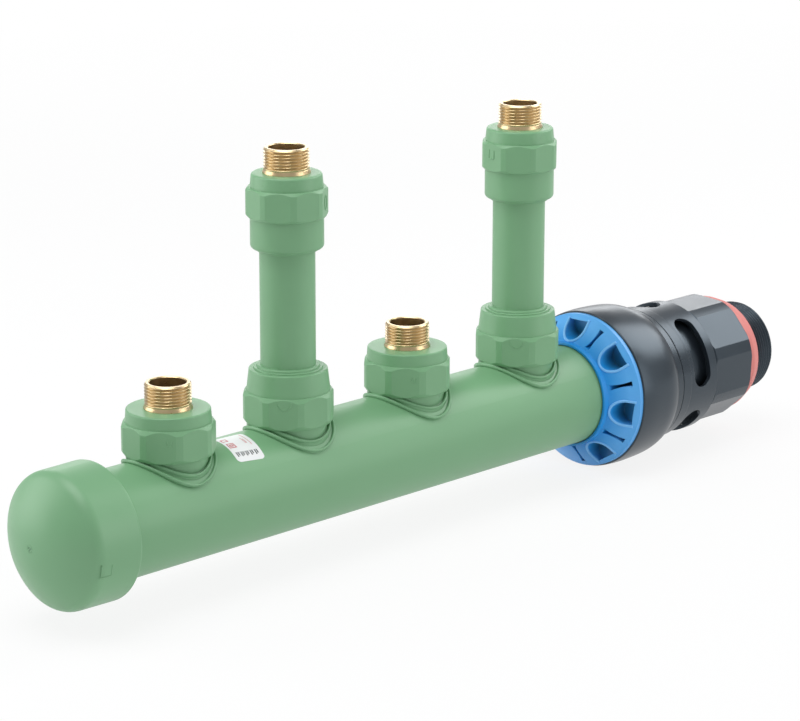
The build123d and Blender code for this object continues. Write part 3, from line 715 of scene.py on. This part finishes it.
def threaded_rows(start, end, crest, depth, pitch, mouth_break):
    """Rows of a helical thread that runs out at its root end and fades into a bevelled mouth."""
    count = round((end - start) / pitch * ROWS_PER_TURN)
    rows = []
    for step in range(count + 1):
        height = start + (end - start) * step / count
        run_in = (height - start) / (RUNOUT_TURNS * pitch)
        runout = min(1.0, run_in, MOUTH_SHARE + (end - height) / pitch)
        limit = crest - max(0.0, height - (end - mouth_break))

        def radius_at(angle, height=height, runout=runout, limit=limit):
            ridge = thread_ridge(height / pitch - angle / (2.0 * math.pi))
            groove = depth * (1.0 - ridge) * runout
            return min(crest - groove, limit)

        rows.append((height, radius_at))
    return rows


def plain(radius):
    """A row that is round."""
    return lambda angle: radius


def polished_brass(name):
    """Turned brass: a warm metal, with painted shade browner down in the grooves, fine rings and uneven
    gloss.
    """
    material = bpy.data.materials.new(name)
    material.use_nodes = True
    nodes = material.node_tree.nodes
    links = material.node_tree.links
    surface = nodes["Principled BSDF"]
    place = nodes.new("ShaderNodeTexCoord")
    cloud = nodes.new("ShaderNodeTexNoise")
    cloud.inputs["Scale"].default_value = BRASS_CLOUDS
    links.new(place.outputs["Object"], cloud.inputs["Vector"])
    tint = nodes.new("ShaderNodeMix")
    tint.data_type = "RGBA"
    tint.inputs["A"].default_value = BRASS_SHADE
    tint.inputs["B"].default_value = BRASS
    links.new(cloud.outputs["Fac"], tint.inputs["Factor"])
    # Painted shade in the grooves, where the surface is hollow.
    shape = nodes.new("ShaderNodeNewGeometry")
    hollow_shade = nodes.new("ShaderNodeMapRange")
    hollow_shade.inputs["From Min"].default_value = HOLLOW_SHADE_STARTS
    hollow_shade.inputs["From Max"].default_value = HOLLOW_SHADE_FULL
    hollow_shade.inputs["To Max"].default_value = GROOVE_SHADE_SHARE
    links.new(shape.outputs["Pointiness"], hollow_shade.inputs["Value"])
    groove_shade = nodes.new("ShaderNodeMix")
    groove_shade.data_type = "RGBA"
    groove_shade.inputs["B"].default_value = GROOVE_SHADE_BRASS
    links.new(hollow_shade.outputs["Result"], groove_shade.inputs["Factor"])
    links.new(tint.outputs["Result"], groove_shade.inputs["A"])
    links.new(groove_shade.outputs["Result"], surface.inputs["Base Color"])
    gloss = nodes.new("ShaderNodeMapRange")
    gloss.inputs["To Min"].default_value = BRASS_SMOOTHEST
    gloss.inputs["To Max"].default_value = BRASS_ROUGHEST
    links.new(cloud.outputs["Fac"], gloss.inputs["Value"])
    links.new(gloss.outputs["Result"], surface.inputs["Roughness"])
    lines = nodes.new("ShaderNodeTexWave")
    lines.wave_type = "BANDS"
    lines.bands_direction = "Z"
    lines.inputs["Scale"].default_value = TOOL_LINES
    lines.inputs["Distortion"].default_value = TOOL_LINE_WANDER
    links.new(place.outputs["Object"], lines.inputs["Vector"])
    marks = nodes.new("ShaderNodeBump")
    marks.inputs["Strength"].default_value = TOOL_LINE_STRENGTH
    marks.inputs["Distance"].default_value = TOOL_LINE_DEPTH
    links.new(lines.outputs["Fac"], marks.inputs["Height"])
    links.new(marks.outputs["Normal"], surface.inputs["Normal"])
    surface.inputs["Metallic"].default_value = 1.0
    return material


turned_brass = polished_brass("turned_brass")
for number in (1, 2, 3, 4):
    node = "brass_thread_" + str(number)
    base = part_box(node)[1][2] - THREAD_LENGTH
    rows = [
        (TAIL_BOTTOM, plain(THREAD_BORE)),
        (TAIL_BOTTOM, plain(TAIL_RADIUS)),
        (ANCHOR_BOTTOM, plain(TAIL_RADIUS)),
        (ANCHOR_BOTTOM, plain(ANCHOR_RADIUS)),
        (ANCHOR_TOP, plain(ANCHOR_RADIUS)),
        (ANCHOR_TOP, plain(THREAD_CREST)),
        (0.0, plain(THREAD_CREST)),
        (0.0, plain(RING_RADIUS)),
        (RING_HEIGHT, plain(RING_RADIUS)),
        (2 * RING_HEIGHT, plain(THREAD_CREST)),
    ]
    rows += threaded_rows(
        THREAD_STARTS, THREAD_LENGTH, THREAD_CREST, THREAD_DEPTH, THREAD_PITCH, MOUTH_BREAK
    )
    rows += [
        (THREAD_LENGTH, plain(THREAD_BORE + BORE_BREAK)),
        (THREAD_LENGTH - BORE_BREAK, plain(THREAD_BORE)),
    ]
    insert = turned_skin("turned_insert_" + str(number), rows, INSERT_SPOKES)
    axis_x, axis_y = middle_of(node)
    insert.data.transform(Matrix.Translation((axis_x, axis_y, base)))
    insert.data.materials.append(turned_brass)
    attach(insert, "root")
    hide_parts(node)


# The guide ring is light blue moulded plastic. It centres the pipe at the coupling's mouth, and its
# pockets and slots keep the moulding thin and springy.
BLUE = (0.110, 0.440, 0.920, 1.0)
BLUE_SHADE = (0.085, 0.390, 0.860, 1.0)
# The deep blue is painted shade, darker the deeper the surface lies under the cone, in the pockets and
# slots.
DEEP_SHADE_BLUE = (0.010, 0.110, 0.230, 1.0)
CONE_FOOT_X = -0.1485
CONE_FOOT_RADIUS = 0.0335
CONE_SLOPE = 0.70
SHADE_STARTS = 0.0008
SHADE_FULL = 0.0110
# The hem blue is painted shade too: a darker, purer blue near the pipe, between the pockets' lips.
HEM_SHADE_BLUE = (0.004, 0.270, 0.720, 1.0)
HEM_SHADE_STARTS = 0.0445
HEM_SHADE_FULL = 0.0350
HEM_SHADE_SHARE = 0.90
moulded_blue = moulded_plastic("moulded_blue", BLUE, BLUE_SHADE, 0.36, 0.0005, 0.00003, edge=0.0006)


def depth_step(nodes, links, operation, first, second):
    """One step of sums on the depth under the ring's cone; the second term may be a plain number."""
    step = nodes.new("ShaderNodeMath")
    step.operation = operation
    links.new(first, step.inputs[0])
    if isinstance(second, float):
        step.inputs[1].default_value = second
    else:
        links.new(second, step.inputs[1])
    return step.outputs[0]


def shade_depths(material):
    """Painted shade: a deeper blue down under the cone, and a darker, purer one near the pipe."""
    nodes = material.node_tree.nodes
    links = material.node_tree.links
    surface = nodes["Principled BSDF"]
    skin_colour = surface.inputs["Base Color"].links[0].from_socket
    place = nodes.new("ShaderNodeTexCoord")
    parts = nodes.new("ShaderNodeSeparateXYZ")
    links.new(place.outputs["Object"], parts.inputs["Vector"])
    across = depth_step(nodes, links, "MULTIPLY", parts.outputs["Y"], parts.outputs["Y"])
    up = depth_step(nodes, links, "MULTIPLY", parts.outputs["Z"], parts.outputs["Z"])
    radius = depth_step(nodes, links, "POWER", depth_step(nodes, links, "ADD", across, up), 0.5)
    climb = depth_step(nodes, links, "MULTIPLY", radius, CONE_SLOPE)
    behind = depth_step(nodes, links, "SUBTRACT", parts.outputs["X"], climb)
    hem_shade = nodes.new("ShaderNodeMapRange")
    hem_shade.inputs["From Min"].default_value = HEM_SHADE_STARTS
    hem_shade.inputs["From Max"].default_value = HEM_SHADE_FULL
    hem_shade.inputs["To Max"].default_value = HEM_SHADE_SHARE
    links.new(radius, hem_shade.inputs["Value"])
    hem_shaded = nodes.new("ShaderNodeMix")
    hem_shaded.data_type = "RGBA"
    hem_shaded.inputs["B"].default_value = HEM_SHADE_BLUE
    links.new(hem_shade.outputs["Result"], hem_shaded.inputs["Factor"])
    links.new(skin_colour, hem_shaded.inputs["A"])
    depth = nodes.new("ShaderNodeMapRange")
    cone_start = CONE_FOOT_X - CONE_SLOPE * CONE_FOOT_RADIUS
    depth.inputs["From Min"].default_value = cone_start + SHADE_STARTS
    depth.inputs["From Max"].default_value = cone_start + SHADE_FULL
    links.new(behind, depth.inputs["Value"])
    shade_blend = nodes.new("ShaderNodeMix")
    shade_blend.data_type = "RGBA"
    shade_blend.inputs["B"].default_value = DEEP_SHADE_BLUE
    links.new(depth.outputs["Result"], shade_blend.inputs["Factor"])
    links.new(hem_shaded.outputs["Result"], shade_blend.inputs["A"])
    links.new(shade_blend.outputs["Result"], surface.inputs["Base Color"])


shade_depths(moulded_blue)
paint("guide_ring", moulded_blue)


# Each pocket of the guide ring has a raised lip round its sides and its inner end, like a horseshoe.
# It is moulded with the ring, of the same blue plastic, and is swept here as a bead on the cone. Its
# lighter blue is painted light, a highlight on the raised lip.
# The lips' lighter blue is painted light, a highlight on the raised lips.
LIT_LIP_BLUE = (0.200, 0.530, 0.950, 1.0)
LIT_LIP_BLUE_SHADE = (0.170, 0.480, 0.900, 1.0)
LIP_OFFSET = 0.0009
LIP_WIDE = 0.00085
LIP_TALL = 0.00075
LIP_STEP = 0.0008
LIP_BENDS = 32
POCKET_TURNS = (-171.5, -121.5, -11.5, 38.5, 88.5, 138.5)
POCKET_HALF_WIDTH = 0.0073
POCKET_ARC_RADIUS = 0.0422
POCKET_OUTER_RADIUS = 0.0468
CONE_RISE = 0.7547
lit_lip_finish = moulded_plastic("lit_lip_blue", LIT_LIP_BLUE, LIT_LIP_BLUE_SHADE, 0.36, 0.0005, 0.00003, edge=0.0003)
lip_half = POCKET_HALF_WIDTH + LIP_OFFSET
lip_side = [POCKET_OUTER_RADIUS - LIP_STEP * step for step in range(6)]
lip_outline = [(out, -lip_half) for out in lip_side]
for step in range(LIP_BENDS + 1):
    bend = math.pi * (step / LIP_BENDS - 0.5)
    lip_outline.append((POCKET_ARC_RADIUS - lip_half * math.cos(bend), lip_half * math.sin(bend)))
lip_outline += [(out, lip_half) for out in reversed(lip_side)]
for number, turn in enumerate(POCKET_TURNS, start=1):
    facing = Vector((0.0, math.cos(math.radians(turn)), math.sin(math.radians(turn))))
    sideways = Vector((0.0, -facing[2], facing[1]))
    rows = []
    for out, side in lip_outline:
        spoke = facing * out + sideways * side
        place_x = CONE_FOOT_X + CONE_RISE * (spoke.length - CONE_FOOT_RADIUS)
        outward = (spoke.normalized() * CONE_RISE - Vector((1.0, 0.0, 0.0))).normalized()
        rows.append((spoke + Vector((place_x, 0.0, 0.0)), outward, LIP_WIDE, LIP_TALL))
    pocket_lip = swept_bead("pocket_lip_" + str(number), rows, closed=False)
    pocket_lip.data.materials.append(lit_lip_finish)
    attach(pocket_lip, "root")


# The coupling's sleeve and body are moulded of black plastic with a satin skin. The sleeve is a bell
# that holds the grip, and the body has the wrench flats and the inlet's two inch thread.
BLACK = (0.015, 0.019, 0.024, 1.0)
BLACK_SHADE = (0.009, 0.012, 0.016, 1.0)
# The blue sheen is a painted reflection: it tints the black plastic's reflections blue, as a bluish room
# would.
PAINTED_BLUE_SHEEN = (0.66, 0.84, 1.0, 1.0)
moulded_black = moulded_plastic(
    "moulded_black", BLACK, BLACK_SHADE, 0.29, 0.0007, 0.00005, edge=0.0006, specular=0.75
)
black_surface = moulded_black.node_tree.nodes["Principled BSDF"]
black_surface.inputs["Specular Tint"].default_value = PAINTED_BLUE_SHEEN
paint("coupling_sleeve", moulded_black)

# The inlet's thread is turned here on a closed skin. The body's plain stub is cut off behind it, the
# cut is closed, and the two are joined to one piece.
INLET_PITCH = 0.002309
INLET_DEPTH = 0.0013
INLET_CREST = 0.0298
INLET_BORE = 0.0229
INLET_LENGTH = 0.0225
INLET_BREAK = 0.0015
INLET_BORE_BREAK = 0.0006
INLET_FOOT = -0.0004
INLET_SPOKES = 144
CUT_X = -0.0002
CUT_REACH = 0.000001

body_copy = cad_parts["coupling_body"].data.copy()
body_shape = bmesh.new()
body_shape.from_mesh(body_copy)
whole = body_shape.verts[:] + body_shape.edges[:] + body_shape.faces[:]
bmesh.ops.bisect_plane(
    body_shape, geom=whole, plane_co=(CUT_X, 0.0, 0.0), plane_no=(1.0, 0.0, 0.0), clear_outer=True
)
at_cut = [vert for vert in body_shape.verts if abs(vert.co[0] - CUT_X) < CUT_REACH]
bmesh.ops.remove_doubles(body_shape, verts=at_cut, dist=CUT_REACH)
rim = []
for edge in body_shape.edges:
    if all(abs(vert.co[0] - CUT_X) < CUT_REACH for vert in edge.verts):
        rim.append(edge)
bmesh.ops.bridge_loops(body_shape, edges=rim)
for edge in rim:
    edge.smooth = False
body_shape.to_mesh(body_copy)
body_shape.free()
inlet_rows = [(INLET_FOOT, plain(INLET_BORE)), (INLET_FOOT, plain(INLET_CREST))]
inlet_rows += threaded_rows(0.0, INLET_LENGTH, INLET_CREST, INLET_DEPTH, INLET_PITCH, INLET_BREAK)
inlet_rows += [
    (INLET_LENGTH, plain(INLET_BORE + INLET_BORE_BREAK)),
    (INLET_LENGTH - INLET_BORE_BREAK, plain(INLET_BORE)),
]
inlet = turned_skin("threaded_body", inlet_rows, INLET_SPOKES)
inlet.data.transform(Matrix.Rotation(math.pi / 2, 4, "Y"))
joined = bmesh.new()
joined.from_mesh(inlet.data)
joined.from_mesh(body_copy)
joined.to_mesh(inlet.data)
joined.free()
inlet.data.materials.clear()
inlet.data.materials.append(moulded_black)
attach(inlet, "root")
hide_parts("coupling_body")


# The grip and the thrust ring sit inside the sleeve, where the grip's teeth hold the pipe. Both are
# taken to be pale acetal, and they hardly show once the coupling is closed.
ACETAL = (0.56, 0.55, 0.50, 1.0)
ACETAL_SHADE = (0.50, 0.49, 0.44, 1.0)
moulded_acetal = moulded_plastic("moulded_acetal", ACETAL, ACETAL_SHADE, 0.45, 0.0005, 0.00003)
paint("grip_ring", moulded_acetal)
paint("thrust_ring", moulded_acetal)


# The seals are moulded rubber: a black lip ring on the pipe, and a coral ring at the foot of the
# inlet's thread, squeezed against the wrench flats.
RUBBER = (0.030, 0.030, 0.030, 1.0)
RUBBER_SHADE = (0.018, 0.018, 0.018, 1.0)
CORAL = (0.680, 0.215, 0.195, 1.0)
CORAL_SHADE = (0.600, 0.175, 0.155, 1.0)
paint("pipe_seal", moulded_plastic("seal_rubber", RUBBER, RUBBER_SHADE, 0.62, 0.0004, 0.00006))
paint("thread_gasket", moulded_plastic("gasket_rubber", CORAL, CORAL_SHADE, 0.55, 0.0004, 0.00005))
